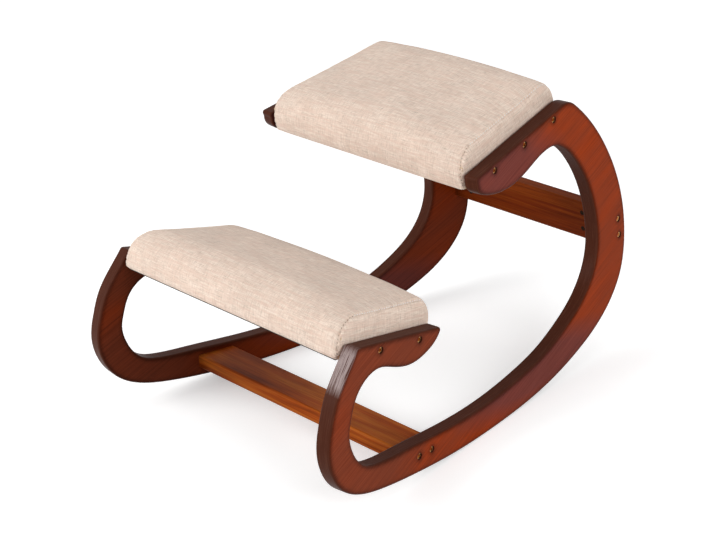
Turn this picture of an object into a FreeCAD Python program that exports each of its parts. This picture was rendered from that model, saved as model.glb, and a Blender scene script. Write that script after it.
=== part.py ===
import FreeCAD, Part
import math
import os

from FreeCAD import Vector, Rotation, Placement

os.makedirs("parts", exist_ok=True)

# A rocking kneeling chair. All lengths are in millimetres and all angles in degrees.
# X runs across the chair, Y from its front to its rear and Z up.
# Side view positions are (y, z), measured from the lowest point of the runners with the
# chair upright. At the end every piece leans back by rest_tilt, which puts the chair's
# weight over the runners' lowest point, and y = 0 becomes the middle of its length.

rest_tilt = 4.65

# Side frames
frame_thickness = 25.0
frame_half_width = 232.3      # centre line to the outer face, at the runners' lowest point
frame_toe = 7.1               # each frame turns inwards by this much towards the rear
frame_edge_radius = 3.8
frame_corner_radius = 4.5
runner_depth = 45.8           # height of the runner over its lowest point

# Pads: the middle of each bolt line in the side view, and the slope of the pad
seat_bolt_y = 148.5
seat_bolt_z = 426.0
seat_slope = 16.0
seat_bolt_pitch = 73.0
seat_bolt_count = 3
seat_front = -120.0           # along the slope, from the middle of the bolt line
seat_rear = 115.0
seat_top = 42.0               # square to the slope, above the bolt line
seat_crown = 7.0
seat_arm_top = 9.5            # the frame's top edge above the bolt line
seat_arm_front = -114.0
seat_tip_height = 9.0         # the flat end of the seat arm
seat_tip_draft = 1.0
seat_arm_rear = 116.0         # the corner where the arm's top meets the rear curve
seat_arm_rear_radius = 40.0
seat_rail_below = 16.5        # rails below the bolt line

kneeler_bolt_y = -126.9
kneeler_bolt_z = 212.8
kneeler_slope = -8.9
kneeler_bolt_pitch = 84.4
kneeler_bolt_count = 2
kneeler_front = -106.0
kneeler_rear = 94.0
kneeler_top = 46.0
kneeler_crown = 6.0
kneeler_arm_top = 10.7
kneeler_arm_front = -91.5
kneeler_arm_rear = 90.5
kneeler_rail_below = 12.7

# Pad build-up, the same for the seat and the kneeler
rail_width = 32.0
rail_above = 12.0             # rails above the bolt line
deck_thickness = 6.0
fabric = 1.5
hem_width = 20.0              # fabric turned under the rails
hem_side_extra = 6.0          # the hem is this much wider along the sides
cloth_thickness = 0.8
cloth_margin = 9.0            # from the edge of the pad to the edge of the bottom cloth
pad_side_gap = 0.8            # pad to frame, each side
soft_gap = 0.3
pad_end_rise = 16.0           # upright part of the front and rear faces, from the bottom
pad_front_round = 30.0
pad_rear_round = 26.0
pad_side_round = 14.0
pad_side_round_share = 0.45   # of the pad's height where it is thin, at its ends
pad_end_crown = 0.4
pad_draw_in = 1.6             # how far the sides pull in at mid length
pad_end_foam = 8.0            # foam in front of the front rail and behind the rear rail

# Stretchers
stretcher_depth = 64.0
stretcher_thickness = 22.0
stretcher_edge_radius = 4.0
front_stretcher_y = -73.5
front_stretcher_z = 28.0
rear_stretcher_y = 404.5
rear_stretcher_z = 229.5
rear_stretcher_lean = 11.0    # its top edge leans forwards
stretcher_bolt_pitch = 28.0

# Fasteners
bolt_radius = 3.0
bolt_head_radius = 4.8
bolt_head_height = 6.0
bolt_head_rounding = 0.8
bolt_head_sink = 2.0          # the head lies this far below the frame's face
bolt_socket = 5.0             # across flats
bolt_socket_depth = 3.0
hole_clearance = 0.25         # on the radius
pad_bolt_length = 38.0
stretcher_bolt_length = 62.0
insert_radius = 5.0
insert_length = 18.0
barrel_radius = 4.0
barrel_length = 16.0
barrel_inset = 36.0           # stretcher's end to the barrel nut's axis
barrel_sink = 2.5             # the nut lies this far below the stretcher's face
slot_width = 1.2              # the barrel nut's screwdriver slot
slot_depth = 1.0
dowel_radius = 3.0
dowel_length = 36.0
dowel_pitch = 9.0
screw_head_radius = 3.5
screw_radius = 1.75
screw_length = 22.0
screw_inset = 16.0
screw_pitch = 84.0
staple_width = 10.0
staple_wire = 0.9
staple_leg = 7.0
staple_pitch = 46.0
staple_inset = 14.0
staple_end_inset = 36.4       # from the pad's ends to the first staple along its sides

toe_cos = math.cos(math.radians(frame_toe))
toe_sin = math.sin(math.radians(frame_toe))
toe_tan = math.tan(math.radians(frame_toe))
rear_lean = math.radians(rear_stretcher_lean)
wood_gap = fabric + soft_gap + pad_draw_in
thread_gap = 0.02             # bolt thread to nut or insert, on the radius
fit_gap = 0.05                # a pressed-in piece to its hole, all round
overcut = 1.0                 # cutters reach this far past the faces they cut
tolerance = 0.01
big = 1200.0


inwards = Vector(-1, 0, 0)    # from the +X frame towards the middle
upwards = Vector(0, 0, 1)


def export(name, shape):
    """Lean a finished piece back, shift it to the chair's own origin and write it."""
    leaned_back(shape).translate(origin_shift)
    if not shape.isValid():
        print("not valid:", name)
    print("%-24s solids %2d  volume %9.0f mm3" % (name, len(shape.Solids), shape.Volume))
    shape.exportStep("parts/%s.step" % name)


def leaned_back(shape):
    shape.rotate(Vector(0, 0, 0), Vector(1, 0, 0), -rest_tilt)
    return shape


def curve(points):
    """A smooth side view curve through points."""
    spline = Part.BSplineCurve()
    spline.interpolate([panel_point(*p) for p in points])
    return spline.toShape()


def panel_point(y, z):
    """A side view position on the outer face of a frame that isn't toed in yet."""
    return Vector(0, y / toe_cos, z)


def line(start, end):
    return Part.makeLine(panel_point(*start), panel_point(*end))


def inner_half_width(y):
    """Centre line to a frame's inner face, at a side view y."""
    return frame_half_width - frame_thickness / toe_cos - y * toe_tan


def between_frames(gap):
    """The whole space between the two frames, less a gap at each side."""
    corners = []
    for side, y in ((1, -big), (1, big), (-1, big), (-1, -big)):
        corners.append(Vector(side * (inner_half_width(y) - gap / toe_cos), y, -big))
    face = Part.Face(Part.makePolygon(corners + corners[:1]))
    return face.extrude(Vector(0, 0, 2 * big))


def beside_frame(depth_from, depth_to):
    """A slab beside the +X frame, between two depths inwards from its inner face."""
    slab = Part.makeBox(depth_to - depth_from, 2 * big, 2 * big)
    slab.translate(Vector(-frame_thickness - depth_to, -big, -big))
    return on_frame(slab)


def on_frame(shape):
    """Take a shape from the untoed +X frame to its place."""
    shape.rotate(Vector(0, 0, 0), Vector(0, 0, 1), frame_toe)
    shape.translate(Vector(frame_half_width, 0, 0))
    return shape


def mirrored(shape):
    return shape.mirror(Vector(0, 0, 0), Vector(1, 0, 0))


def both_sides(shapes):
    """The +X shapes and their mirror images, as one group of separate solids."""
    return Part.makeCompound(shapes + [mirrored(s) for s in shapes])


def box(x_from, x_to, y_from, y_to, z_from, z_to):
    shape = Part.makeBox(x_to - x_from, y_to - y_from, z_to - z_from)
    shape.translate(Vector(x_from, y_from, z_from))
    return shape


def rod(start, direction, radius, length):
    return Part.makeCylinder(radius, length, start, direction)


class Pad:
    """A sloping pad: u runs up the slope towards the rear, v square to it, x across."""

    def __init__(self, y, z, slope, front, rear, top, crown, rail_below, bolt_pitch,
                 bolt_count):
        self.y = y
        self.z = z
        self.slope = math.radians(slope)
        self.front = front
        self.rear = rear
        self.top = top
        self.crown = crown
        self.rail_bottom = -rail_below
        self.bottom = self.rail_bottom - fabric - soft_gap
        self.deck_top = rail_above + deck_thickness
        middle = (bolt_count - 1) / 2
        self.bolts = [(i - middle) * bolt_pitch for i in range(bolt_count)]

    def at(self, u, v):
        """The side view position of a point given along and square to the slope."""
        sin, cos = math.sin(self.slope), math.cos(self.slope)
        return (self.y + u * cos - v * sin, self.z + u * sin + v * cos)

    def placed(self, shape):
        """Take a shape from pad coordinates (x, u, v) to its place."""
        turn = Rotation(Vector(1, 0, 0), math.degrees(self.slope))
        shape.Placement = Placement(Vector(0, self.y, self.z), turn).multiply(shape.Placement)
        return shape

    def half_width(self, u, v):
        return inner_half_width(self.at(u, v)[0])

    def section(self, u, inset):
        """The cushion's outline across the chair at one place along the slope."""
        front, rear = self.front + inset, self.rear - inset
        bottom = self.bottom + inset
        shoulder = self.bottom + pad_end_rise
        drop = 1.0
        if u < front + pad_front_round:
            drop = math.sqrt(max(0.0, 1 - ((front + pad_front_round - u) / pad_front_round) ** 2))
        if u > rear - pad_rear_round:
            drop = math.sqrt(max(0.0, 1 - ((u - rear + pad_rear_round) / pad_rear_round) ** 2))
        top = shoulder + (self.top - inset - shoulder) * drop
        rounding = min(pad_side_round, pad_side_round_share * (top - bottom))
        crown = self.crown * drop + pad_end_crown
        middle, reach = (front + rear) / 2, (rear - front) / 2
        pull = pad_draw_in * (1 - ((u - middle) / reach) ** 2)
        gap = pad_side_gap + inset

        def side(v, in_by=0.0):
            return self.half_width(u, v) - gap - in_by

        bow = rounding * (1 - math.sqrt(0.5))
        low = Vector(side(bottom), u, bottom)
        high = Vector(side(top - rounding, pull), u, top - rounding)
        bend = Vector(side(top, pull) - bow, u, top - bow)
        edge = Vector(side(top, pull) - rounding, u, top)
        peak = Vector(0, u, top + crown)

        def flip(p):
            return Vector(-p.x, p.y, p.z)

        edges = [Part.makeLine(flip(low), low), Part.makeLine(low, high),
                 Part.Arc(high, bend, edge).toShape(), Part.Arc(edge, peak, flip(edge)).toShape(),
                 Part.Arc(flip(edge), flip(bend), flip(high)).toShape(),
                 Part.makeLine(flip(high), flip(low))]
        return Part.Wire(edges)

    def cushion(self, inset):
        """The crowned cushion form, drawn in from its outer surface by an inset."""
        front, rear = self.front + inset, self.rear - inset
        shares = (0.0, 0.04, 0.13, 0.28, 0.5, 0.75, 1.0)
        stations = [front + s * pad_front_round for s in shares]
        span = rear - pad_rear_round - stations[-1]
        stations += [stations[-1] + span * i / 3 for i in (1, 2)]
        stations += [rear - s * pad_rear_round for s in reversed(shares)]
        return Part.makeLoft([self.section(u, inset) for u in stations], True, True)


def side_frame(seat, kneeler):
    """The +X side frame, cut from one panel, with its bolt holes."""
    tip_top = kneeler.at(kneeler_arm_rear, kneeler_arm_top)
    front_corner = kneeler.at(kneeler_arm_front, kneeler_arm_top)
    arm_shoulder = seat.at(seat_arm_rear, seat_arm_top)
    arm_tip = seat.at(seat_arm_front, seat_arm_top)
    arm_chin = seat.at(seat_arm_front + seat_tip_draft, seat_arm_top - seat_tip_height)
    outline = [
        # outer edge: down the front, under the runner and up the rear to the seat arm
        curve([front_corner, (-237, 208), (-256, 178), (-267.5, 144), (-273.5, 108), (-263, 65),
               (-242, 38), (-212, 21), (-162, 9.5), (-82, 2.4), (0, 0), (109, 6), (217, 22),
               (315, 54), (394, 105), (425, 155), (430.5, 204), (417, 275), (364, 371),
               (323, 417), arm_shoulder]),
        line(arm_shoulder, arm_tip),
        line(arm_tip, arm_chin),
        # inner edge: under the seat arm, down the rear, along the runner, round the front
        # loop and under the kneeler arm to its tip
        curve([arm_chin, (46, 381), (63, 373.5), (90, 369.5), (123, 372), (156, 383), (185, 397),
               (205, 403.6), (225, 405), (255, 393), (281, 371), (307, 340), (334, 292),
               (349, 245), (352.5, 217), (343, 172), (315, 134), (275, 105), (227, 81),
               (172, 65), (84, 50), (0, runner_depth), (-107, 49), (-168, 52), (-196, 59),
               (-214, 74), (-225, 93), (-231, 118), (-227, 140), (-218, 165), (-202, 183),
               (-174, 193), (-140, 184), (-101, 175), (-69, 181), (-45, 195), tip_top]),
        line(tip_top, front_corner),
    ]
    blank = Part.Face(Part.Wire(outline)).extrude(Vector(-frame_thickness, 0, 0))
    blank = round_corners(blank, [front_corner, tip_top, arm_tip, arm_chin], frame_corner_radius)
    blank = round_corners(blank, [arm_shoulder], seat_arm_rear_radius)
    arrises = [e for e in blank.Edges if not is_across(e)]
    blank = blank.makeFillet(frame_edge_radius, arrises)
    for y, z in pad_bolt_places(seat) + pad_bolt_places(kneeler) + stretcher_bolt_places():
        blank = blank.cut(bolt_hole(y, z))
    return on_frame(blank)


def round_corners(blank, corners, radius):
    places = [panel_point(*c) for c in corners]
    sharp = [e for e in blank.Edges if is_across(e) and is_near(e, places)]
    return blank.makeFillet(radius, sharp)


def is_across(edge):
    """True for an edge that runs through the panel's thickness."""
    start, end = edge.Vertexes
    return abs(start.X - end.X) > frame_thickness / 2


def is_near(edge, points):
    middle = edge.CenterOfMass
    return any(math.hypot(middle.y - p.y, middle.z - p.z) < tolerance for p in points)


def square_start(y, depth):
    """Where a hole square to a frame starts on its outer face, to be at y at a depth."""
    return y + depth * toe_sin


def pad_bolt_places(pad):
    return [pad.at(u, 0) for u in pad.bolts]


def stretcher_bolt_places():
    half = stretcher_bolt_pitch / 2
    rise, run = half * math.cos(rear_lean), half * math.sin(rear_lean)
    depth = frame_thickness + barrel_inset / 2
    front_y, rear_y = square_start(front_stretcher_y, depth), square_start(rear_stretcher_y, depth)
    return [(front_y - half, front_stretcher_z), (front_y + half, front_stretcher_z),
            (rear_y - run, rear_stretcher_z + rise), (rear_y + run, rear_stretcher_z - rise)]


def bolt_hole(y, z):
    """The clearance hole through the panel and the recess for the bolt's head."""
    start = panel_point(y, z) - inwards * overcut
    recess = rod(start, inwards, bolt_head_radius + hole_clearance,
                 overcut + bolt_head_sink + bolt_head_height)
    return recess.fuse(rod(start, inwards, bolt_radius + hole_clearance,
                           frame_thickness + 2 * overcut))


def bolt(y, z, length):
    """A socket head bolt, seen on the untoed +X frame."""
    seat_x = bolt_head_sink + bolt_head_height
    face = panel_point(y, z) - Vector(bolt_head_sink, 0, 0)
    head = rod(face, inwards, bolt_head_radius, bolt_head_height)
    edge = [e for e in head.Edges
            if e.Closed and abs(e.CenterOfMass.x + bolt_head_sink) < tolerance]
    head = head.makeFillet(bolt_head_rounding, edge)
    shank = rod(panel_point(y, z) - Vector(seat_x, 0, 0), inwards, bolt_radius, length)
    hexagon = []
    for i in range(7):
        turn = math.radians(60 * i + 30)
        reach = bolt_socket / 2 / math.cos(math.radians(30))
        hexagon.append(face + Vector(0, reach * math.cos(turn), reach * math.sin(turn)))
    socket = Part.Face(Part.makePolygon(hexagon)).extrude(inwards * bolt_socket_depth)
    return head.fuse(shank).cut(socket).removeSplitter()


def bolts(places, length):
    return both_sides([on_frame(bolt(y, z, length)) for y, z in places])


def insert(y, z):
    """A threaded sleeve in the side of a pad's rail."""
    start = panel_point(y, z) - Vector(frame_thickness + pad_side_gap + wood_gap, 0, 0)
    sleeve = rod(start, inwards, insert_radius, insert_length)
    return sleeve.cut(rod(start, inwards, bolt_radius + thread_gap, insert_length))


def insert_hole(y, z):
    start = panel_point(y, z) - Vector(frame_thickness, 0, 0)
    sleeve = rod(start, inwards, insert_radius + thread_gap,
                 pad_side_gap + wood_gap + insert_length)
    return sleeve.fuse(rod(start, inwards, bolt_radius + hole_clearance,
                           bolt_reach() + 2 * overcut))


def bolt_reach():
    """How far a pad bolt reaches past the frame's inner face."""
    return pad_bolt_length + bolt_head_sink + bolt_head_height - frame_thickness


def stretcher_board(y, z, turn, barrel_places, barrel_axis):
    """A stretcher between the frames; turn is the side view angle of its width."""
    board = box(-big, big, -stretcher_depth / 2, stretcher_depth / 2,
                -stretcher_thickness / 2, stretcher_thickness / 2)
    long_edges = [e for e in board.Edges if e.Length > big]
    board = board.makeFillet(stretcher_edge_radius, long_edges)
    board.rotate(Vector(0, 0, 0), Vector(1, 0, 0), turn)
    board.translate(Vector(0, y, z))
    board = board.common(between_frames(0.0))
    for by, bz in barrel_places:
        bore = on_frame(stretcher_bore(by, bz, barrel_axis))
        board = board.cut(bore).cut(mirrored(bore))
    return board


def stretcher_bore(y, z, axis):
    """The bolt's hole into a stretcher's end and the barrel nut's cross hole."""
    end = panel_point(y, z) - Vector(frame_thickness, 0, 0)
    hole = rod(end - inwards * overcut, inwards, bolt_radius + hole_clearance,
               overcut + stretcher_bolt_length)
    middle = end + inwards * barrel_inset
    face = stretcher_thickness / 2 + 2 * overcut
    cross = rod(middle + axis * face, axis * -1, barrel_radius + fit_gap,
                face - stretcher_thickness / 2 + barrel_sink + barrel_length)
    return hole.fuse(cross)


def barrel_nut(y, z, axis):
    middle = panel_point(y, z) - Vector(frame_thickness + barrel_inset, 0, 0)
    start = middle + axis * (stretcher_thickness / 2 - barrel_sink)
    nut = rod(start, axis * -1, barrel_radius, barrel_length)
    reach = barrel_radius + overcut
    through = rod(middle - inwards * reach, inwards, bolt_radius + thread_gap, 2 * reach)
    slot = box(-slot_width / 2, slot_width / 2, -barrel_radius, barrel_radius, -slot_depth, 0.0)
    slot.Placement = Placement(start, Rotation(Vector(0, 0, 1), axis))
    return nut.cut(through).cut(slot)


def barrel_nuts(places, axis):
    return both_sides([on_frame(barrel_nut(y, z, axis)) for y, z in places])


def pad_slab(pad, v_from, v_to, gap, u_from, u_to):
    """A flat slab of a pad between two heights, trimmed to the space between the frames."""
    slab = pad.placed(box(-big, big, u_from, u_to, v_from, v_to))
    return slab.common(between_frames(pad_side_gap + gap))


def make_pad(name, pad):
    """All the pieces of one upholstered pad."""
    wrap = fabric + soft_gap
    depth = pad_side_gap + wood_gap
    front, rear = pad.front + wrap + pad_end_foam, pad.rear - wrap - pad_end_foam
    full = pad_slab(pad, pad.rail_bottom, rail_above, wood_gap, front, rear)

    # side rails lie against the frames, and the cross rails fit between them
    side_zone = beside_frame(depth, depth + rail_width)
    side_rail = full.common(side_zone)
    bores = [on_frame(insert_hole(y, z)) for y, z in pad_bolt_places(pad)]
    for bore in bores:
        side_rail = side_rail.cut(bore)
    front_rail = pad_slab(pad, pad.rail_bottom, rail_above, 0, front, front + rail_width)
    rear_rail = pad_slab(pad, pad.rail_bottom, rail_above, 0, rear - rail_width, rear)
    middle_zone = between_frames(depth + rail_width)
    front_rail = front_rail.common(middle_zone)
    rear_rail = rear_rail.common(middle_zone)

    # dowels through the joints between side rails and cross rails
    dowels, dowel_holes = [], []
    for u in (front + rail_width / 2, rear - rail_width / 2):
        for offset in (-dowel_pitch / 2, dowel_pitch / 2):
            y, z = pad.at(u + offset, 0)
            joint = frame_thickness + depth + rail_width
            start = panel_point(square_start(y, joint), z) - Vector(joint - dowel_length / 2, 0, 0)
            dowels.append(on_frame(rod(start, inwards, dowel_radius, dowel_length)))
            dowel_holes.append(on_frame(rod(start - inwards * overcut, inwards,
                                            dowel_radius + fit_gap,
                                            dowel_length + 2 * overcut)))
    for hole in dowel_holes:
        side_rail = side_rail.cut(hole)
        for cutter in (hole, mirrored(hole)):
            front_rail = front_rail.cut(cutter)
            rear_rail = rear_rail.cut(cutter)

    # deck, with countersunk screws down into the side rails and cross rails
    deck = pad_slab(pad, rail_above, pad.deck_top, wood_gap, front, rear)
    screws, pilots = [], []
    for x, u in screw_places(pad, front, rear):
        screws.append(pad.placed(screw(x, u, pad.deck_top)))
        pilots.append(pad.placed(rod(Vector(x, u, pad.deck_top - screw_length - overcut),
                                     upwards, screw_radius + fit_gap, screw_length + overcut)))
        pilots.append(pad.placed(countersink(x, u, pad.deck_top, fit_gap)))
    pilots = Part.makeCompound(pilots)
    deck = deck.cut(pilots)
    side_rail = side_rail.cut(pilots)
    front_rail = front_rail.cut(pilots)
    rear_rail = rear_rail.cut(pilots)

    # cover, foam and bottom cloth
    outer = pad.cushion(0.0)
    inside = pad.cushion(fabric)
    window_reach = (inner_half_width(pad.at(pad.rear, 0)[0]) - pad_side_gap - hem_width
                    - hem_side_extra)
    window = box(-window_reach, window_reach, pad.front + hem_width, pad.rear - hem_width,
                 pad.bottom - overcut, pad.bottom + fabric + overcut)
    cover = outer.cut(inside).cut(window)
    wood_zone = box(-big, big, front, rear, pad.bottom - overcut, pad.deck_top)
    foam = pad.cushion(wrap).cut(wood_zone)
    cover, foam = pad.placed(cover), pad.placed(foam)
    for y, z in pad_bolt_places(pad):
        hole = on_frame(rod(panel_point(y, z) + inwards * (frame_thickness - overcut), inwards,
                            bolt_radius + hole_clearance,
                            pad_side_gap + pad_draw_in + fabric + 2 * overcut))
        cover = cover.cut(hole).cut(mirrored(hole))
    cloth = pad_slab(pad, pad.bottom - cloth_thickness, pad.bottom, cloth_margin,
                     pad.front + cloth_margin, pad.rear - cloth_margin)

    # staples along the hem, through the bottom cloth and the fabric
    staples, slots = [], []
    for x, u, turn in staple_places(pad):
        staples.append(pad.placed(staple(x, u, turn, pad.bottom - cloth_thickness, 0.0)))
        slots.append(pad.placed(staple(x, u, turn, pad.bottom - cloth_thickness, fit_gap)))
    slots = Part.makeCompound(slots)
    cloth, cover = cloth.cut(slots), cover.cut(slots)
    side_rail, front_rail = side_rail.cut(slots), front_rail.cut(slots)
    rear_rail = rear_rail.cut(slots)
    right_rail = full.common(mirrored(side_zone))
    for cutter in [mirrored(c) for c in bores + dowel_holes] + [pilots, slots]:
        right_rail = right_rail.cut(cutter)

    export(name + "_left_rail", side_rail)
    export(name + "_right_rail", right_rail)
    export(name + "_front_rail", front_rail)
    export(name + "_rear_rail", rear_rail)
    export(name + "_deck", deck)
    export(name + "_frame_dowels", both_sides(dowels))
    export(name + "_deck_screws", Part.makeCompound(screws))
    export(name + "_foam", foam)
    export(name + "_cover", cover)
    export(name + "_bottom_cloth", cloth)
    export(name + "_staples", Part.makeCompound(staples))
    export(name + "_inserts", both_sides([on_frame(insert(y, z)) for y, z in pad_bolt_places(pad)]))
    export(name + "_bolts", bolts(pad_bolt_places(pad), pad_bolt_length))


def screw_places(pad, front, rear):
    """Deck screws: a row into each cross rail, and one between bolts in each side rail."""
    places = []
    for u in (front + screw_inset, rear - screw_inset):
        places += [(i * screw_pitch, u) for i in (-1, 0, 1)]
    for u in [(a + b) / 2 for a, b in zip(pad.bolts, pad.bolts[1:])]:
        side = pad.half_width(u, 0) - pad_side_gap - wood_gap - screw_inset
        places += [(-side, u), (side, u)]
    return places


def screw(x, u, top):
    head = screw_head_radius - screw_radius
    shank = rod(Vector(x, u, top - screw_length), upwards, screw_radius, screw_length - head / 2)
    return shank.fuse(countersink(x, u, top, 0.0)).removeSplitter()


def countersink(x, u, top, grow):
    height = screw_head_radius - screw_radius
    return Part.makeCone(screw_radius + grow, screw_head_radius + grow, height,
                         Vector(x, u, top - height), upwards)


def staple_places(pad):
    """Staples all round the bottom, each turned along its own edge."""
    places = []
    for u in (pad.front + staple_inset, pad.rear - staple_inset):
        reach = pad.half_width(u, 0) - 2 * staple_inset
        count = int(2 * reach / staple_pitch)
        for i in range(count + 1):
            places.append((-reach + 2 * reach * i / count, u, 0))
    u_from, u_to = pad.front + staple_end_inset, pad.rear - staple_end_inset
    count = int((u_to - u_from) / staple_pitch)
    for i in range(count + 1):
        u = u_from + (u_to - u_from) * i / count
        x = pad.half_width(u, 0) - staple_inset
        places += [(x, u, 90 + frame_toe), (-x, u, 90 - frame_toe)]
    return places


def staple(x, u, turn, level, grow):
    """A staple pushed up from below; its crown lies on the bottom cloth."""
    half = staple_width / 2 + grow
    wire = staple_wire + 2 * grow
    crown = box(-half, half, -wire / 2, wire / 2, -staple_wire - grow, grow)
    legs = [box(x0, x0 + wire, -wire / 2, wire / 2, -staple_wire, staple_leg + grow)
            for x0 in (-half, half - wire)]
    shape = crown.fuse(legs).removeSplitter()
    shape.rotate(Vector(0, 0, 0), Vector(0, 0, 1), turn)
    shape.translate(Vector(x, u, level))
    return shape


seat = Pad(seat_bolt_y, seat_bolt_z, seat_slope, seat_front, seat_rear, seat_top, seat_crown,
           seat_rail_below, seat_bolt_pitch, seat_bolt_count)
kneeler = Pad(kneeler_bolt_y, kneeler_bolt_z, kneeler_slope, kneeler_front, kneeler_rear,
              kneeler_top, kneeler_crown, kneeler_rail_below, kneeler_bolt_pitch,
              kneeler_bolt_count)

left_frame = side_frame(seat, kneeler)
extent = leaned_back(left_frame.copy()).optimalBoundingBox()
origin_shift = Vector(0, -(extent.YMin + extent.YMax) / 2, -extent.ZMin)
print("length %.1f  height %.1f  width %.1f" % (extent.YLength, extent.ZLength, 2 * extent.XMax))
print("origin shift: y %.2f  z %.2f" % (origin_shift.y, origin_shift.z))
right_frame = mirrored(left_frame)
export("left_side_frame", left_frame)
export("right_side_frame", right_frame)

down = upwards * -1
forwards = Vector(0, -math.cos(rear_lean), -math.sin(rear_lean))
front_places, rear_places = stretcher_bolt_places()[:2], stretcher_bolt_places()[2:]
export("front_stretcher", stretcher_board(front_stretcher_y, front_stretcher_z, 0.0,
                                          front_places, down))
export("rear_stretcher", stretcher_board(rear_stretcher_y, rear_stretcher_z,
                                         90 + rear_stretcher_lean, rear_places, forwards))
export("front_stretcher_bolts", bolts(front_places, stretcher_bolt_length))
export("rear_stretcher_bolts", bolts(rear_places, stretcher_bolt_length))
export("front_barrel_nuts", barrel_nuts(front_places, down))
export("rear_barrel_nuts", barrel_nuts(rear_places, forwards))

make_pad("seat", seat)
make_pad("kneeler", kneeler)
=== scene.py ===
import math

import bmesh
import bpy
from mathutils import Matrix, Vector, noise


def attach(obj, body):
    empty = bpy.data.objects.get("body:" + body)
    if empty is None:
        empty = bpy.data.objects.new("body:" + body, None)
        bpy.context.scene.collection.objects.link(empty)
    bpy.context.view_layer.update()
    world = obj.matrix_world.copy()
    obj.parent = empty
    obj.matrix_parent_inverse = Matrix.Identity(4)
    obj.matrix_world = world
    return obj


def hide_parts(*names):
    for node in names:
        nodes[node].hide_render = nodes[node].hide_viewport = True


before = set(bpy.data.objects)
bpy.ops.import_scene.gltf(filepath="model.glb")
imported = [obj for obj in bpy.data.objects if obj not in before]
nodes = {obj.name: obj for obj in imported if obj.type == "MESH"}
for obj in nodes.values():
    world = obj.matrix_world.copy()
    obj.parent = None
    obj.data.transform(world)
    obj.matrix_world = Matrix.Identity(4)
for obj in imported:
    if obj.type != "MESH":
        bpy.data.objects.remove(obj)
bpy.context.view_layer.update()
print("frame loaded:", len(nodes), "nodes")

# The chair was laid out upright and then leaned back to where it rests
chair = {
    "restTilt": 4.65,               # degrees, rear down
    "toe": 7.1,                     # degrees, each side frame turns inwards towards the rear
    "shift": (-0.08929, 0.00298),   # y and z of the upright layout's origin after the lean
}
restTilt = math.radians(chair["restTilt"])
toe = math.radians(chair["toe"])
lean = Matrix.Translation((0, *chair["shift"])) @ Matrix.Rotation(-restTilt, 4, "X")


def sideNormal(side):
    # outward normal of a side frame's flat face, side is 1 or -1
    normal = Vector((side * math.cos(toe), math.sin(toe), 0))
    return (Matrix.Rotation(-restTilt, 3, "X") @ normal).normalized()


# Small helpers for node trees and meshes


def put(tree, kind, values=None, **settings):
    node = tree.nodes.new(kind)
    for key, value in settings.items():
        setattr(node, key, value)
    for key, value in (values or {}).items():
        if isinstance(value, bpy.types.NodeSocket):
            tree.links.new(value, node.inputs[key])
        else:
            node.inputs[key].default_value = value
    return node


def ramp(tree, factor, stops):
    node = put(tree, "ShaderNodeValToRGB", {"Fac": factor})
    while len(node.color_ramp.elements) < len(stops):
        node.color_ramp.elements.new(0.5)
    for element, (place, colour) in zip(node.color_ramp.elements, stops):
        element.position = place
        element.color = (*colour, 1) if len(colour) == 3 else colour
    return node.outputs["Color"]


def grey(value):
    return (value, value, value)


def mixColour(tree, factor, a, b, blend="MIX"):
    node = put(tree, "ShaderNodeMix", data_type="RGBA", blend_type=blend)
    for index, value in ((0, factor), (6, a), (7, b)):
        if isinstance(value, bpy.types.NodeSocket):
            tree.links.new(value, node.inputs[index])
        elif index == 0:
            node.inputs[index].default_value = value
        else:
            node.inputs[index].default_value = (*value, 1)
    return node.outputs[2]


def sums(tree, operation, a, b=0.5, clamp=False):
    node = put(tree, "ShaderNodeMath", {0: a, 1: b}, operation=operation, use_clamp=clamp)
    return node.outputs[0]


def stretched(tree, vector, scale, turn=(0, 0, 0), shift=(0, 0, 0)):
    node = put(tree, "ShaderNodeMapping",
               {"Vector": vector, "Scale": scale, "Rotation": turn, "Location": shift})
    return node.outputs["Vector"]


def cloudy(tree, vector, detail=3.0, roughness=0.55, distortion=0.0):
    node = put(tree, "ShaderNodeTexNoise", {"Vector": vector, "Scale": 1.0, "Detail": detail,
                                            "Roughness": roughness, "Distortion": distortion})
    return node.outputs["Fac"]


def bumped(tree, height, distance, strength=1.0):
    node = put(tree, "ShaderNodeBump", {"Height": height, "Distance": distance,
                                        "Strength": strength})
    return node.outputs["Normal"]


def newMaterial(name, **sockets):
    material = bpy.data.materials.new(name)
    material.use_nodes = True
    tree = material.node_tree
    shader = tree.nodes["Principled BSDF"]
    for key, value in sockets.items():
        shader.inputs[key.replace("_", " ")].default_value = value
    return material, tree, shader


def plainMesh(obj):
    # what the modifiers give becomes the mesh, and they go
    graph = bpy.context.evaluated_depsgraph_get()
    made = bpy.data.meshes.new_from_object(obj.evaluated_get(graph))
    old = obj.data
    obj.modifiers.clear()
    obj.data = made
    bpy.data.meshes.remove(old)


def newObject(name, mesh):
    obj = bpy.data.objects.new(name, mesh)
    bpy.context.scene.collection.objects.link(obj)
    return obj


def setMaterial(obj, material):
    obj.data.materials.clear()
    obj.data.materials.append(material)


# Finishes

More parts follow.
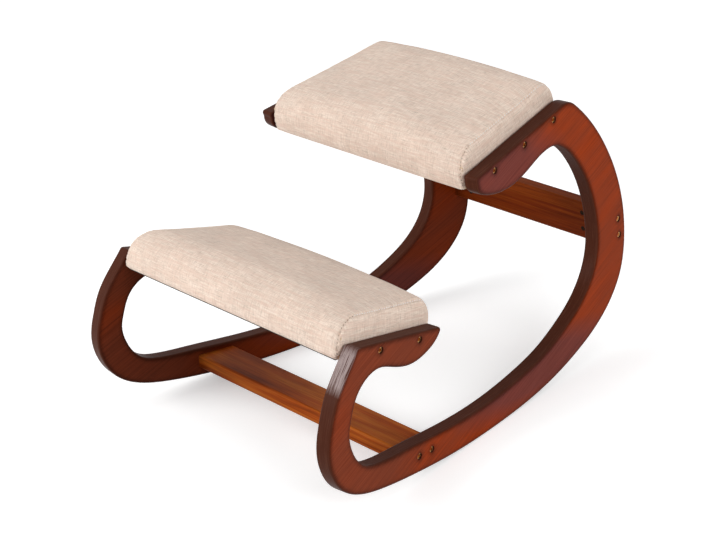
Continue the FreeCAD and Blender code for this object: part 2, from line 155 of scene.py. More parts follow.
stain = {
    "red": (0.285, 0.034, 0.003),
    "brown": (0.16, 0.034, 0.015),
    # purplish tint standing in for a reflection of the surroundings: painted reflection
    "plumReflection": (0.145, 0.036, 0.030),
    # edge: the stain on the cut edges, made darker still as painted shade
    "edge": (0.060, 0.017, 0.009),
    "edgeWorn": (0.13, 0.05, 0.032),
    # pale grey patch on the near frame's front edge: a painted highlight
    "edgeHighlight": (0.32, 0.25, 0.24),
    "roughness": 0.38,
    "gloss": 0.025,
    "grain": 27.0,        # degrees, the fibres rise this much towards the rear
    "fibreScale": (150, 9, 520),    # patterns per metre: through the sheet, along, across
    "bandScale": (14, 3.0, 16),
    "wearAndGlareScale": (900, 25, 25),
    "ply": 0.0016,        # thickness of one layer of the sheet
    "plyShare": 0.25,     # of the layers' lines in the bump
    "fibreBump": 0.00012,
    "burst": 0.016,       # the stain is darker this near to the outline
    # places in the side view, (y, z), where the colour drifts, brown from the stain and plum as a
    # painted reflection, and their reach
    "reflectionPlaces": [((0.03, 0.385), (0.17, 0.06)), ((0.12, 0.045), (0.22, 0.05))],
    "brownPlaces": [((-0.2, 0.225), (0.2, 0.1)), ((-0.28, 0.08), (0.14, 0.12))],
    # where the painted highlight lies on the near frame's front edge
    "highlightPlaces": [((-0.305, 0.23), (0.037, 0.037))],
}


def spots(tree, vector, places):
    # soft oval spots in the side view, 1 in their middle
    total = None
    for (y, z), (reachY, reachZ) in places:
        local = stretched(tree, vector, (0, 1 / reachY, 1 / reachZ),
                          shift=(0, -y / reachY, -z / reachZ))
        spot = put(tree, "ShaderNodeTexGradient", {"Vector": local}, gradient_type="SPHERICAL")
        total = spot.outputs["Fac"] if total is None else sums(tree, "MAXIMUM", total,
                                                               spot.outputs["Fac"])
    return total


def frameStainAndLight(name, side, strength):
    material, tree, shader = newMaterial(name, Roughness=stain["roughness"],
                                         Specular_IOR_Level=stain["gloss"])
    place = put(tree, "ShaderNodeTexCoord")
    normal = sideNormal(side)
    upright = stretched(tree, place.outputs["Object"], (1, 1, 1), (restTilt, 0, -side * toe))
    upright = stretched(tree, upright, (1, 1, 1), (-math.radians(stain["grain"]), 0, 0))

    # long fibres run from front to rear, with broad blotches under them
    fibres = cloudy(tree, stretched(tree, upright, stain["fibreScale"]), 4.0, 0.6, 0.15)
    bands = cloudy(tree, stretched(tree, upright, stain["bandScale"]), 3.0, 0.55, 0.4)
    drift = ramp(tree, bands, [(0.3, grey(0.3)), (0.66, grey(1))])
    warm = mixColour(tree, drift, stain["brown"], stain["red"])
    # brown spots are the stain's own drift, plum spots are painted reflection
    for colour, places, most in (("brown", "brownPlaces", 0.8), ("plumReflection", "reflectionPlaces", 0.85)):
        spot = spots(tree, place.outputs["Object"], stain[places])
        share = ramp(tree, spot, [(0.0, grey(0)), (0.5, grey(most))])
        warm = mixColour(tree, share, warm, stain[colour])
    streak = ramp(tree, fibres, [(0.34, grey(0.74)), (0.5, grey(0.97)), (0.7, grey(1.2))])
    face = mixColour(tree, 1.0, warm, streak, "MULTIPLY")
    rounded = put(tree, "ShaderNodeBevel", {"Radius": stain["burst"]}, samples=8)
    facing = put(tree, "ShaderNodeVectorMath", {0: rounded.outputs[0], 1: normal},
                 operation="DOT_PRODUCT").outputs["Value"]
    burst = ramp(tree, sums(tree, "ABSOLUTE", facing), [(0.88, grey(0.4)), (0.997, grey(1))])
    face = mixColour(tree, 1.0, face, burst, "MULTIPLY")
    # painted shade: the face colour is multiplied by strength, below 1 for the far frame lying in
    # shadow
    face = mixColour(tree, 1.0, face, grey(strength), "MULTIPLY")

    # cut edges are darker, partly the stain on the cut grain and partly painted shade, with the
    # sheet's layers showing as fine lines
    towards = put(tree, "ShaderNodeVectorMath", {0: place.outputs["Normal"], 1: normal},
                  operation="DOT_PRODUCT").outputs["Value"]
    flat = ramp(tree, sums(tree, "ABSOLUTE", towards), [(0.55, grey(0)), (0.97, grey(1))])
    depth = put(tree, "ShaderNodeVectorMath", {0: place.outputs["Object"], 1: normal},
                operation="DOT_PRODUCT").outputs["Value"]
    layer = sums(tree, "SINE", sums(tree, "MULTIPLY", depth, 2 * math.pi / (2 * stain["ply"])))
    # this noise gives the edges' real wear and also the streaks in the painted highlight
    wearAndGlare = cloudy(tree, stretched(tree, upright, stain["wearAndGlareScale"]), 4.0, 0.7)
    worn = ramp(tree, wearAndGlare, [(0.5, grey(0)), (0.74, grey(0.55))])
    edge = mixColour(tree, worn, stain["edge"], stain["edgeWorn"])
    # painted highlight: a pale glare on the near frame's front edge, broken into streaks
    paintedHighlight = spots(tree, place.outputs["Object"], stain["highlightPlaces"])
    glareStreaks = ramp(tree, wearAndGlare, [(0.4, grey(0)), (0.52, grey(1))])
    paintedHighlight = sums(tree, "MULTIPLY", ramp(tree, paintedHighlight, [(0.0, grey(0)), (0.4, grey(1))]), glareStreaks)
    if side == 1:
        edge = mixColour(tree, paintedHighlight, edge, stain["edgeHighlight"])
    tree.links.new(mixColour(tree, flat, edge, face), shader.inputs["Base Color"])
    height = sums(tree, "ADD", sums(tree, "MULTIPLY", layer, stain["plyShare"]), fibres)
    tree.links.new(bumped(tree, height, stain["fibreBump"]), shader.inputs["Normal"])
    return material


def boardStain(name, settings):
    # solid wood with its grain along X
    material, tree, shader = newMaterial(name, Roughness=stain["roughness"],
                                         Specular_IOR_Level=stain["gloss"])
    place = put(tree, "ShaderNodeTexCoord").outputs["Object"]
    turned = stretched(tree, place, (1, 1, 1), (settings["turn"], 0, 0))
    figure = cloudy(tree, stretched(tree, turned, (3.2, 34, 90)), 3.0, 0.55, 0.6)
    fibres = cloudy(tree, stretched(tree, turned, (14, 520, 520)), 4.0, 0.6)
    patches = cloudy(tree, stretched(tree, turned, (4, 9, 9)), 2.0)
    colour = ramp(tree, figure, [(0.3, settings["dark"]), (0.47, settings["middle"]),
                                 (0.62, settings["light"]), (0.8, settings["middle"])])
    tone = ramp(tree, patches, [(0.35, grey(0.8)), (0.65, grey(1.12))])
    colour = mixColour(tree, 1.0, colour, tone, "MULTIPLY")
    streak = ramp(tree, fibres, [(0.36, grey(0.74)), (0.52, grey(1.0)), (0.7, grey(1.14))])
    colour = mixColour(tree, 1.0, colour, streak, "MULTIPLY")
    tree.links.new(colour, shader.inputs["Base Color"])
    tree.links.new(bumped(tree, fibres, stain["fibreBump"]), shader.inputs["Normal"])
    return material


def plainWood(name, dark, light, scale):
    material, tree, shader = newMaterial(name, Roughness=0.65)
    place = put(tree, "ShaderNodeTexCoord").outputs["Object"]
    figure = cloudy(tree, stretched(tree, place, scale), 4.0, 0.6, 0.5)
    colour = ramp(tree, figure, [(0.32, dark), (0.68, light)])
    tree.links.new(colour, shader.inputs["Base Color"])
    tree.links.new(bumped(tree, figure, 0.0002), shader.inputs["Normal"])
    return material


def platedMetal(name, colour, worn, roughness):
    material, tree, shader = newMaterial(name, Metallic=1.0, Roughness=roughness)
    place = put(tree, "ShaderNodeTexCoord").outputs["Object"]
    spots = cloudy(tree, stretched(tree, place, (700, 700, 700)), 3.0)
    tint = ramp(tree, spots, [(0.35, worn), (0.6, colour)])
    tree.links.new(tint, shader.inputs["Base Color"])
    tree.links.new(bumped(tree, spots, 0.00004), shader.inputs["Normal"])
    return material


weave = {
    "light": (0.83, 0.70, 0.60),
    "base": (0.67, 0.525, 0.425),
    "dark": (0.36, 0.26, 0.20),
    "pink": (0.72, 0.505, 0.40),
    "slubLength": 0.019,
    "slubWidth": 0.0011,
    "thread": 0.0013,      # pitch of the threads
    "threadShare": 0.22,   # of the single threads in the bump
    "bump": 0.00045,
}


def slubs(tree, vector, length, width, shift):
    # long thin lumps in the yarn, along the first coordinate
    scale = (1 / length, 1 / width, 1)
    return cloudy(tree, stretched(tree, vector, scale, shift=shift), 3.0, 0.62, 0.25)


def linenWeave(name):
    material, tree, shader = newMaterial(name, Roughness=0.9, Sheen_Weight=0.25,
                                         Sheen_Roughness=0.6, Specular_IOR_Level=0.2)
    shader.inputs["Sheen Tint"].default_value = (1.0, 0.93, 0.86, 1)
    flat = put(tree, "ShaderNodeUVMap", uv_map="cloth").outputs["UV"]
    turned = stretched(tree, flat, (1, 1, 1), (0, 0, math.pi / 2))
    length, width = weave["slubLength"], weave["slubWidth"]
    across = slubs(tree, flat, length, width, (3, 7, 0))
    along = slubs(tree, turned, length * 0.7, width, (11, 2, 0))
    broad = slubs(tree, flat, length * 2.5, width * 3.5, (5, 1, 0))
    broadTurned = slubs(tree, turned, length * 2, width * 4, (9, 4, 0))
    clouds = cloudy(tree, stretched(tree, flat, (11, 14, 1)), 3.0)

    colour = ramp(tree, across, [(0.33, weave["dark"]), (0.45, weave["base"]),
                                 (0.58, weave["light"])])
    other = ramp(tree, along, [(0.33, weave["dark"]), (0.45, weave["base"]),
                               (0.58, weave["light"])])
    colour = mixColour(tree, 0.5, colour, other)
    tint = ramp(tree, broad, [(0.42, grey(0)), (0.62, grey(0.6))])
    colour = mixColour(tree, tint, colour, weave["pink"])
    tone = ramp(tree, broad, [(0.34, grey(1.03)), (0.62, grey(0.96))])
    colour = mixColour(tree, 1.0, colour, tone, "MULTIPLY")
    tone = ramp(tree, broadTurned, [(0.36, grey(0.97)), (0.62, grey(1.03))])
    colour = mixColour(tree, 1.0, colour, tone, "MULTIPLY")
    tone = ramp(tree, clouds, [(0.35, grey(0.95)), (0.65, grey(1.04))])
    colour = mixColour(tree, 1.0, colour, tone, "MULTIPLY")
    tree.links.new(colour, shader.inputs["Base Color"])

    axes = put(tree, "ShaderNodeSeparateXYZ", {0: flat})
    turns = 2 * math.pi / weave["thread"]
    warp = sums(tree, "SINE", sums(tree, "MULTIPLY", axes.outputs[0], turns))
    weft = sums(tree, "SINE", sums(tree, "MULTIPLY", axes.outputs[1], turns))
    cross = sums(tree, "MULTIPLY", warp, weft)
    height = sums(tree, "ADD", across, along)
    height = sums(tree, "ADD", sums(tree, "MULTIPLY", cross, weave["threadShare"]), height)
    tree.links.new(bumped(tree, height, weave["bump"]), shader.inputs["Normal"])
    return material


def threadFinish(name, colour):
    material, tree, shader = newMaterial(name, Roughness=0.8)
    place = put(tree, "ShaderNodeTexCoord").outputs["Object"]
    twist = cloudy(tree, stretched(tree, place, (900, 900, 900)), 2.0)
    darker = tuple(0.6 * c for c in colour)
    tree.links.new(ramp(tree, twist, [(0.35, darker), (0.65, colour)]),
                   shader.inputs["Base Color"])
    return material


def dustCloth(name):
    material, tree, shader = newMaterial(name, Roughness=0.95)
    place = put(tree, "ShaderNodeTexCoord").outputs["Object"]
    felt = cloudy(tree, stretched(tree, place, (600, 600, 600)), 4.0, 0.7)
    dots = put(tree, "ShaderNodeTexVoronoi", {"Vector": stretched(tree, place, (500, 500, 500)),
                                              "Scale": 1.0})
    colour = ramp(tree, felt, [(0.35, grey(0.012)), (0.7, grey(0.035))])
    tree.links.new(colour, shader.inputs["Base Color"])
    tree.links.new(bumped(tree, dots.outputs["Distance"], 0.0002), shader.inputs["Normal"])
    return material


finishes = {
    "leftFrame": frameStainAndLight("frame_stain_and_painted_light_left", 1, 1.0),
    # the far frame is painted darker by 0.55 as shade
    "rightFrame": frameStainAndLight("frame_stain_and_painted_light_right", -1, 0.55),
    "frontBoard": boardStain("stretcher_stain_front", {
        "turn": restTilt, "dark": (0.16, 0.027, 0.004), "middle": (0.30, 0.056, 0.007),
        "light": (0.39, 0.10, 0.014)}),
    "rearBoard": boardStain("stretcher_stain_rear", {
        "turn": restTilt - math.radians(11), "dark": (0.085, 0.012, 0.003),
        "middle": (0.135, 0.020, 0.003), "light": (0.19, 0.036, 0.005)}),
    "pine": plainWood("rail_pine_grain", (0.5, 0.33, 0.17), (0.68, 0.5, 0.3), (6, 60, 60)),
    "plywood": plainWood("deck_ply_grain", (0.45, 0.3, 0.16), (0.62, 0.46, 0.28), (5, 70, 300)),
    "beech": plainWood("dowel_beech_grain", (0.5, 0.32, 0.18), (0.62, 0.43, 0.27), (20, 200, 200)),
    "bolt": platedMetal("yellow_plated", (0.72, 0.42, 0.16), (0.35, 0.16, 0.06), 0.3),
    # a lighter copy of the same yellow plating: a painted glint for the rear stretcher bolts
    "paintedGlintBolt": platedMetal("yellow_plated_painted_glint", (0.95, 0.6, 0.28), (0.6, 0.32, 0.13), 0.5),
    # near black: painted shade of the barrel nut holes, not the colour of the plating
    "nut": platedMetal("barrel_nut_painted_shade", (0.03, 0.015, 0.008), (0.015, 0.008, 0.005), 0.6),
    "steel": platedMetal("bright_plated", (0.62, 0.62, 0.6), (0.42, 0.42, 0.41), 0.35),
    "linen": linenWeave("linen_weave"),
    "seamThread": threadFinish("seam_thread", (0.37, 0.27, 0.2)),
    # near-black thread standing in for the shade of the puckers at the front corners: painted
    # shade
    "cornerThreadShade": threadFinish("seam_thread_painted_shade", (0.06, 0.035, 0.025)),
    "dust": dustCloth("dust_cloth_black"),
}
nodeFinish = {"left_side_frame": "leftFrame", "right_side_frame": "rightFrame",
              "front_stretcher": "frontBoard", "rear_stretcher": "rearBoard",
              "rear_stretcher_bolts": "paintedGlintBolt"}
endFinish = {"rail": "pine", "deck": "plywood", "dowels": "beech", "bolts": "bolt",
             "nuts": "nut", "screws": "steel", "staples": "steel", "inserts": "steel",
             "foam": "linen", "cover": "linen", "cloth": "dust"}
for name, node in nodes.items():
    finish = nodeFinish.get(name) or endFinish[name.rsplit("_", 1)[-1]]
    setMaterial(node, finishes[finish])
print("finishes on the wood and the metal")


# Cushions

padShape = {
    "endRise": 0.016,       # upright part of the front and rear faces
    "frontRound": 0.042,
    "rearRound": 0.026,
    "sideRound": 0.011,
    "frontCorner": (0.009, 0.018),   # corners seen from above, at the hem and at the top
    "rearCorner": (0.007, 0.016),
    "hemRound": 0.011,      # the front rolls in towards the hem
    "drawIn": 0.0016,       # how far the sides pull in at mid length
    "shrink": 0.0015,       # drawn in by this before it swells
    "voxel": 0.0045,
    "fill": 0.85,           # of the cushion's space that is foam
    "pressure": 4.0,
    "frames": 20,           # of swelling
    "held": 0.0055,         # the stapled bottom, up to this height
    "swell": 0.0035,        # no point moves further than this
    "evenOut": 12,          # passes that even out the swelling
    "seamInset": (0.0025, 0.0095),   # seam to the side face, at the hem and at the top
    "seamDepth": 0.0017,
    "pucker": 0.0013,       # gathers across the seam at the front corners
    "puckerPitch": 0.008,
    "puckerReach": 0.07,
    "seamWidth": 0.0016,
    "seamCuts": (-0.0034, -0.0016, 0.0, 0.0016, 0.0034),   # rows of points beside the seam
    "puckerWidth": 0.005,
    "seamReach": 0.012,     # nothing further from the seam is drawn in
    "wrap": 0.004,          # the weave starts down the front and rear this far below the top
    "clear": 0.0004,        # to the side frames
    "overflow": 0.002,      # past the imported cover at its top, front and rear
}


class PadSpace:
    # A pad's own axes, taken from its packed cover: u up the slope, v square to it, x across

    def __init__(self, node, slope):
        angle = math.radians(slope) - restTilt
        self.along = Vector((0, math.cos(angle), math.sin(angle)))
        self.square = Vector((0, -math.sin(angle), math.cos(angle)))
        points = [v.co for v in nodes[node].data.vertices]
        self.front = min(p.dot(self.along) for p in points)
        self.rear = max(p.dot(self.along) for p in points)
        self.bottom = min(p.dot(self.square) for p in points)
        self.top = max(p.dot(self.square) for p in points)
        self.normal = sideNormal(1)
        self.side = max(p.dot(self.normal) for p in points)
        self.middle = (self.front + self.rear) / 2

    def half(self, u, v):
        # half the width between the sides
        slant = u * self.along.dot(self.normal) + v * self.square.dot(self.normal)
        return (self.side - slant) / self.normal.x

    def cornerCut(self, u, v, shape):
        # how far a rounded corner lies inside the side at this place
        rise = min(max((v - self.bottom) / (self.top - self.bottom), 0.0), 1.0)
        atFront = u < self.middle
        low, high = shape["frontCorner"] if atFront else shape["rearCorner"]
        radius = low + (high - low) * rise
        near = u - self.front if atFront else self.rear - u
        short = min(max(radius - near, 0.0), radius)
        return radius - math.sqrt(radius ** 2 - short ** 2)

    def point(self, x, u, v):
        return Vector((x, 0, 0)) + self.along * u + self.square * v

    def coordinates(self, p):
        return p.x, p.dot(self.along), p.dot(self.square)


def dropOff(space, u, shape):
    front, rear = space.front + shape["frontRound"], space.rear - shape["rearRound"]
    short = max((front - u) / shape["frontRound"], (u - rear) / shape["rearRound"], 0.0)
    return math.sqrt(max(0.0, 1 - min(short, 1.0) ** 2))


def sectionLoop(space, u, shape, crown, inset):
    # one closed outline across the cushion, from the middle of its bottom round to it again
    roll = shape["hemRound"]
    short = min(max(roll - (u - space.front), 0.0), roll)
    bottom = space.bottom + roll - math.sqrt(roll ** 2 - short ** 2)
    shoulder = space.bottom + shape["endRise"]
    drop = dropOff(space, u, shape)
    top = shoulder + (space.top - crown - inset - shoulder) * drop
    rounding = min(shape["sideRound"], 0.45 * (top - bottom))
    pull = shape["drawIn"] * (1 - ((u - space.middle) / (space.rear - space.middle)) ** 2)
    half = []
    cut = space.cornerCut(u, bottom, shape)
    lowHalf = space.half(u, bottom) - inset - cut
    for i in range(13):
        half.append((lowHalf * i / 12, bottom))
    for i in range(1, 8):
        v = bottom + (top - rounding - bottom) * i / 7
        pinch = pull * math.sin(math.pi / 2 * i / 7)
        cut = space.cornerCut(u, v, shape)
        half.append((space.half(u, v) - inset - pinch - cut, v))
    cut = space.cornerCut(u, top, shape)
    edgeX, edgeV = space.half(u, top) - inset - pull - cut - rounding, top - rounding
    for i in range(1, 7):
        turn = math.pi / 2 * i / 6
        half.append((edgeX + rounding * math.cos(turn), edgeV + rounding * math.sin(turn)))
    for i in range(1, 15):
        share = 1 - i / 14
        lift = crown * drop * (1 - share ** 2)
        half.append((edgeX * share, top + lift))
    other = [(-x, v) for x, v in reversed(half[1:-1])]
    return [space.point(x, u, v) for x, v in half + other]


def loftedForm(space, shape, crown):
    mesh = bmesh.new()
    inset = shape["shrink"]
    front, rear = space.front + inset, space.rear - inset
    ends = [0.0, 0.02, 0.06, 0.12, 0.2, 0.3, 0.42, 0.56, 0.72, 0.88]
    stations = [front + e * shape["frontRound"] for e in ends]
    first, last = front + shape["frontRound"], rear - shape["rearRound"]
    stations += [first + (last - first) * i / 30 for i in range(31)]
    stations += [rear - e * shape["rearRound"] for e in reversed(ends)]
    loops = []
    for u in stations:
        loops.append([mesh.verts.new(p) for p in sectionLoop(space, u, shape, crown, inset)])
    count = len(loops[0])
    for a, b in zip(loops, loops[1:]):
        for i in range(count):
            j = (i + 1) % count
            mesh.faces.new((a[i], a[j], b[j], b[i]))
    mesh.faces.new(loops[0])
    mesh.faces.new(list(reversed(loops[-1])))
    bmesh.ops.recalc_face_normals(mesh, faces=mesh.faces)
    made = bpy.data.meshes.new("cushion_form")
    mesh.to_mesh(made)
    mesh.free()
    return made


def swell(obj, space, shape):
    # pressure from inside, with the stapled bottom held still
    held = obj.vertex_groups.new(name="held")
    low = [v.index for v in obj.data.vertices
           if v.co.dot(space.square) < space.bottom + shape["held"]]
    held.add(low, 1.0, "REPLACE")
    before = [(v.co.copy(), v.normal.copy()) for v in obj.data.vertices]
    cloth = obj.modifiers.new("cloth", "CLOTH")
    cloth.settings.quality = 5
    cloth.settings.mass = 0.25
    cloth.settings.tension_stiffness = 12
    cloth.settings.compression_stiffness = 12
    cloth.settings.bending_stiffness = 1.5
    cloth.settings.use_pressure = True
    cloth.settings.uniform_pressure_force = shape["pressure"]
    cloth.settings.effector_weights.gravity = 0
    cloth.settings.vertex_group_mass = "held"
    cloth.collision_settings.use_collision = False
    cloth.point_cache.frame_start = 1
    cloth.point_cache.frame_end = shape["frames"]
    for step in range(1, shape["frames"] + 1):
        bpy.context.scene.frame_set(step)
    plainMesh(obj)
    # only the outward part is kept, so the cushion stays over its frame
    rises = [min(max((v.co - old).dot(normal), 0.0), shape["swell"])
             for v, (old, normal) in zip(obj.data.vertices, before)]
    neighbours = [[] for rise in rises]
    for edge in obj.data.edges:
        a, b = edge.vertices
        neighbours[a].append(b)
        neighbours[b].append(a)
    for repeat in range(shape["evenOut"]):
        rises = [0.5 * rise + 0.5 * sum(rises[j] for j in near) / len(near)
                 for rise, near in zip(rises, neighbours)]
    for vertex, (old, normal), rise in zip(obj.data.vertices, before, rises):
        vertex.co = old + normal * rise
    obj.vertex_groups.clear()
    bpy.context.scene.frame_set(1)


def keepInside(obj, space, shape):
    # nothing bulges into a side frame or below the hem
    for vertex in obj.data.vertices:
        x, u, v = space.coordinates(vertex.co)
        v = min(max(v, space.bottom), space.top + shape["overflow"])
        u = min(max(u, space.front - shape["overflow"]), space.rear + shape["overflow"])
        limit = space.half(u, v) - shape["clear"]
        x = min(max(x, -limit), limit)
        vertex.co = space.point(x, u, v)


def seamPlane(space, side, shape):
    # the plane of a seam, leaning in towards the top: a point on it and its normal
    low, high = shape["seamInset"]
    slant = (high - low) / (space.top - space.bottom)
    normal = sideNormal(side)
    across = (normal + space.square * slant).normalized()
    u, v = space.middle, space.bottom
    point = space.point(side * (space.half(u, v) - low / normal.x * side), u, v)
    return point, across


def sewSides(obj, space, shape):
    # each side panel meets the wrap-over panel in a seam; returns the seams' points
    mesh = bmesh.new()
    mesh.from_mesh(obj.data)
    lines = {1: [], -1: []}
    for side in (1, -1):
        point, across = seamPlane(space, side, shape)
        for offset in shape["seamCuts"]:
            cut = bmesh.ops.bisect_plane(
                mesh, geom=mesh.verts[:] + mesh.edges[:] + mesh.faces[:],
                plane_co=point + across * offset, plane_no=across, dist=1e-6)
            if offset == 0.0:
                lines[side] = [g for g in cut["geom_cut"] if isinstance(g, bmesh.types.BMVert)]
    mesh.normal_update()
    moved = {}
    for side in (1, -1):
        point, across = seamPlane(space, side, shape)
        for vertex in mesh.verts:
            depth = (vertex.co - point).dot(across)
            if abs(depth) < shape["seamReach"] and vertex.co.x * side > 0:
                x, u, v = space.coordinates(vertex.co)
                nearFront = max(0.0, 1 - (u - space.front) / shape["puckerReach"])
                wave = math.sin(2 * math.pi * (u - v) / shape["puckerPitch"])
                move = -shape["seamDepth"] * math.exp(-(depth / shape["seamWidth"]) ** 2)
                move += (shape["pucker"] * nearFront * min(wave, 0.0)
                         * math.exp(-(depth / shape["puckerWidth"]) ** 2))
                moved[vertex] = vertex.normal * move
    for vertex, move in moved.items():
        vertex.co += move
    seams = {}
    for side, cut in lines.items():
        middle = (space.bottom + space.top) / 2
        around = []
        for vertex in cut:
            x, u, v = space.coordinates(vertex.co)
            around.append((math.atan2(v - middle, u - space.middle), vertex.co.copy(), v))
        around.sort(key=lambda item: item[0])
        seams[side] = around
    mesh.to_mesh(obj.data)
    mesh.free()
    return seams


def layCloth(obj, space, shape):
    # flat coordinates of the weave: across and along, with the side panels cut separately
    layer = obj.data.uv_layers.new(name="cloth")
    level = space.top - shape["wrap"]
    reach = 0.35 * (space.rear - space.front)
    planes = {side: seamPlane(space, side, shape) for side in (1, -1)}
    for polygon in obj.data.polygons:
        side = 0
        for trial, (point, across) in planes.items():
            if (polygon.center - point).dot(across) > 0:
                side = trial
        for index in polygon.loop_indices:
            corner = obj.data.vertices[obj.data.loops[index].vertex_index].co
            x, u, v = space.coordinates(corner)
            if side:
                layer.data[index].uv = (u + side * 0.9, v + 0.5)
            else:
                share = min(max((space.middle - u) / reach, -1.0), 1.0)
                layer.data[index].uv = (x, u + share * (v - level))


def makeCushion(name, space, shape, crown):
    obj = newObject(name, loftedForm(space, shape, crown))
    remesh = obj.modifiers.new("remesh", "REMESH")
    remesh.mode = "VOXEL"
    remesh.voxel_size = shape["voxel"]
    smooth = obj.modifiers.new("smooth", "SMOOTH")
    smooth.iterations = 2
    smooth.factor = 0.5
    plainMesh(obj)
    swell(obj, space, shape)
    divide = obj.modifiers.new("divide", "SUBSURF")
    divide.levels = divide.render_levels = 1
    plainMesh(obj)
    keepInside(obj, space, shape)
    seams = sewSides(obj, space, shape)
    layCloth(obj, space, shape)
    obj.data.polygons.foreach_set("use_smooth", [True] * len(obj.data.polygons))
    setMaterial(obj, finishes["linen"])
    return obj, seams


stitch = {"pitch": 0.0052, "length": 0.0034, "radius": 0.00042, "turn": 35.0,
          "hem": 0.003,           # no stitches this near to the bottom
          "darkReach": 0.036}     # stitches this near to the front get the dark thread, painted shade of the seam's puckers


def seamCurve(name, seams, space):
    # the seams as open lines, from the front bottom edge over the top to the rear bottom edge
    curve = bpy.data.curves.new(name, "CURVE")
    curve.dimensions = "3D"
    for side, around in seams.items():
        shown = [(a, p) for a, p, v in around if v > space.bottom + stitch["hem"]]
        # start after the widest gap in angle, which is the bottom
        gaps = [((shown[(i + 1) % len(shown)][0] - shown[i][0]) % (2 * math.pi), i)
                for i in range(len(shown))]
        start = (max(gaps)[1] + 1) % len(shown)
        ordered = shown[start:] + shown[:start]
        spline = curve.splines.new("POLY")
        spline.points.add(len(ordered) - 1)
        for point, (a, p) in zip(spline.points, ordered):
            point.co = (*p, 1)
    return newObject(name, curve)


def stitchTree(material):
    # small threads set along a line
    tree = bpy.data.node_groups.new("stitches_along_line", "GeometryNodeTree")
    face = tree.interface
    face.new_socket("Geometry", in_out="INPUT", socket_type="NodeSocketGeometry")
    for label, value in (("Pitch", stitch["pitch"]), ("Length", stitch["length"]),
                         ("Radius", stitch["radius"]), ("Turn", math.radians(stitch["turn"]))):
        socket = face.new_socket(label, in_out="INPUT", socket_type="NodeSocketFloat")
        socket.default_value = value
    face.new_socket("Geometry", in_out="OUTPUT", socket_type="NodeSocketGeometry")
    given = put(tree, "NodeGroupInput").outputs
    spaced = put(tree, "GeometryNodeResampleCurve", {"Curve": given["Geometry"],
                                                     "Length": given["Pitch"]}, mode="LENGTH")
    tangent = put(tree, "GeometryNodeInputTangent")
    lying = put(tree, "FunctionNodeAlignRotationToVector", {"Vector": tangent.outputs[0]},
                axis="Z")
    thread = put(tree, "GeometryNodeMeshCylinder", {"Vertices": 8, "Radius": given["Radius"],
                                                    "Depth": given["Length"]})
    spin = put(tree, "ShaderNodeCombineXYZ", {"X": given["Turn"]})
    leaning = put(tree, "GeometryNodeTransform", {"Geometry": thread.outputs[0],
                                                  "Rotation": spin.outputs[0]})
    placed = put(tree, "GeometryNodeInstanceOnPoints",
                 {"Points": spaced.outputs[0], "Instance": leaning.outputs[0],
                  "Rotation": lying.outputs[0]})
    real = put(tree, "GeometryNodeRealizeInstances", {0: placed.outputs[0]})
    finished = put(tree, "GeometryNodeSetMaterial", {"Geometry": real.outputs[0],
                                                     "Material": material})
    out = put(tree, "NodeGroupOutput")
    tree.links.new(finished.outputs[0], out.inputs[0])
    return tree


def sewStitches(name, line, tree):
    holder = newObject(name, bpy.data.meshes.new(name))
    line.modifiers.new("stitches", "NODES").node_group = tree
    graph = bpy.context.evaluated_depsgraph_get()
    made = bpy.data.meshes.new_from_object(line.evaluated_get(graph))
    holder.data = made
    bpy.data.objects.remove(line)
    return holder


pads = {
    # rearOver is how far the cushion bulges over its rear rail
    "seat": {"slope": 16.0, "crown": 0.0074, "rearOver": 0.003, "cushion": "seat_cushion"},
    "kneeler": {"slope": -8.9, "crown": 0.0064, "rearOver": 0.005,
                "cushion": "kneeler_cushion"},
}
stitches = stitchTree(finishes["seamThread"])
for pad, values in pads.items():
    space = PadSpace(pad + "_cover", values["slope"])
    space.rear += values["rearOver"]
    cushion, seams = makeCushion(values["cushion"], space, padShape, values["crown"])
    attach(cushion, "root")
    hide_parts(pad + "_cover", pad + "_foam")
    threads = sewStitches(pad + "_seam_stitches", seamCurve(pad + "_seam", seams, space), stitches)
    threads.data.materials.append(finishes["cornerThreadShade"])
    # stitches near the front take the dark thread, painted shade of the puckers
    for polygon in threads.data.polygons:
        x, u, v = space.coordinates(polygon.center)
        polygon.material_index = 1 if u < space.front + stitch["darkReach"] else 0
    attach(threads, "root")
    print(pad, "cushion:", len(cushion.data.polygons), "faces")


# Dust cloths under the pads

dust = {"sag": 0.0012, "ripple": 0.0003, "ripples": 30, "steps": 60, "thickness": 0.0005,
        "below": 0.0001}     # under the pad's bottom


def makeDustCloth(pad, values):
    node = pad + "_bottom_cloth"
    space = PadSpace(node, values["slope"])
    steps = dust["steps"]
    mesh = bmesh.new()
    rows = []
    level = space.top - dust["below"]
    for i in range(steps + 1):
        u = space.front + (space.rear - space.front) * i / steps
        half = space.half(u, level)
        row = []
        for j in range(steps + 1):
            x = half * (2 * j / steps - 1)
            inside = math.sin(math.pi * i / steps) * math.sin(math.pi * j / steps)
            drop = dust["sag"] * inside ** 0.6
            spot = Vector((x * dust["ripples"], u * dust["ripples"], 2))
            drop += dust["ripple"] * noise.noise(spot) * inside ** 0.3
            row.append(mesh.verts.new(space.point(x, u, level - max(drop, 0))))
        rows.append(row)
    for a, b in zip(rows, rows[1:]):
        for j in range(steps):
            mesh.faces.new((a[j], b[j], b[j + 1], a[j + 1]))
    mesh.normal_update()
    made = bpy.data.meshes.new(pad + "_dust_cloth")
    mesh.to_mesh(made)
    mesh.free()
    obj = newObject(pad + "_dust_cloth", made)
    thick = obj.modifiers.new("thick", "SOLIDIFY")
    thick.thickness = dust["thickness"]
    thick.offset = 1
    plainMesh(obj)
    obj.data.polygons.foreach_set("use_smooth", [True] * len(obj.data.polygons))
    setMaterial(obj, finishes["dust"])
    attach(obj, "root")
    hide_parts(node)
    return obj


for pad, values in pads.items():
    makeDustCloth(pad, values)
print("dust cloths in place")


# Studio

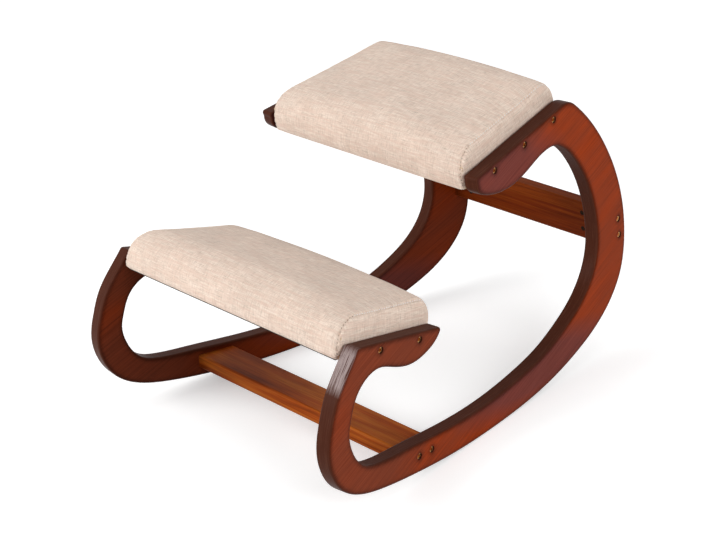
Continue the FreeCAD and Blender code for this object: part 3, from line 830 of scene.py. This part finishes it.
studio = {
    "floorSize": 12.0,
    "floorColour": (0.86, 0.86, 0.86),
    "nearWhite": 0.42, "farWhite": 0.7,
    "worldLight": 0.45,
    "aim": (0, 0, 0.22),    # the lamps look at the middle of the chair
    "keyPlace": (-1.3, -2.3, 1.25), "keySize": 1.4, "keyPower": 46.0,
    "topPlace": (-0.2, 0.2, 2.8), "topSize": 2.4, "topPower": 12.0,
    "fillPlace": (2.7, -0.6, 1.3), "fillSize": 1.8, "fillPower": 42.0,
}


def whiteFloor():
    material, tree, shader = newMaterial("pale_floor", Roughness=0.9, Specular_IOR_Level=0.1)
    shader.inputs["Base Color"].default_value = (*studio["floorColour"], 1)
    rays = put(tree, "ShaderNodeLightPath").outputs
    seen = sums(tree, "MAXIMUM", rays["Is Camera Ray"], rays["Is Glossy Ray"])
    seen = sums(tree, "MAXIMUM", seen, rays["Is Transmission Ray"])
    # far from the lamps the floor needs more of its own white
    place = put(tree, "ShaderNodeTexCoord").outputs["Object"]
    near = put(tree, "ShaderNodeTexGradient", {"Vector": stretched(tree, place, (0.25, 0.25, 1))},
               gradient_type="SPHERICAL").outputs["Fac"]
    white = ramp(tree, near, [(0.0, grey(studio["farWhite"])), (0.8, grey(studio["nearWhite"]))])
    glow = put(tree, "ShaderNodeEmission", {"Color": (1, 1, 1, 1),
                                            "Strength": sums(tree, "MULTIPLY", seen, white)})
    both = put(tree, "ShaderNodeAddShader", {0: shader.outputs[0], 1: glow.outputs[0]})
    out = tree.nodes["Material Output"]
    tree.links.new(both.outputs[0], out.inputs["Surface"])
    return material


def lampAt(name, place, size, power):
    data = bpy.data.lights.new(name, "AREA")
    data.shape = "DISK"
    data.size = size
    data.energy = power
    lamp = newObject(name, data)
    lamp.location = place
    aim = Vector(studio["aim"]) - Vector(place)
    lamp.rotation_euler = aim.to_track_quat("-Z", "Y").to_euler()


floorMesh = bpy.data.meshes.new("floor")
half = studio["floorSize"] / 2
floorMesh.from_pydata([(-half, -half, 0), (half, -half, 0), (half, half, 0), (-half, half, 0)],
                      [], [(0, 1, 2, 3)])
floor = newObject("floor", floorMesh)
setMaterial(floor, whiteFloor())

world = bpy.data.worlds.new("studio")
bpy.context.scene.world = world
world.use_nodes = True
sky = world.node_tree
rays = put(sky, "ShaderNodeLightPath").outputs
seen = sums(sky, "MAXIMUM", rays["Is Camera Ray"], rays["Is Glossy Ray"])
seen = sums(sky, "MAXIMUM", seen, rays["Is Transmission Ray"])
level = sums(sky, "MULTIPLY_ADD", seen, 1 - studio["worldLight"])
level.node.inputs[2].default_value = studio["worldLight"]
background = sky.nodes["Background"]
background.inputs["Color"].default_value = (1, 1, 1, 1)
sky.links.new(level, background.inputs["Strength"])
for lamp in ("key", "top", "fill"):
    lampAt(lamp + "_lamp", studio[lamp + "Place"], studio[lamp + "Size"], studio[lamp + "Power"])

# The camera stands still in the upright layout, so it leans with the chair
view = {"azimuth": 46.87, "elevation": 21.43, "lens": 93.0, "place": (1.866, -1.721, 1.212)}
cameraData = bpy.data.cameras.new("camera")
cameraData.sensor_width = 36
cameraData.lens = view["lens"]
camera = newObject("camera", cameraData)
azimuth, elevation = math.radians(view["azimuth"]), math.radians(view["elevation"])
back = Vector((math.sin(azimuth) * math.cos(elevation), -math.cos(azimuth) * math.cos(elevation),
               math.sin(elevation)))
aim = (-back).to_track_quat("-Z", "Y").to_matrix().to_4x4()
camera.matrix_world = lean @ Matrix.Translation(view["place"]) @ aim
bpy.context.scene.camera = camera
bpy.context.scene.view_settings.view_transform = "Standard"
print("studio and camera set")
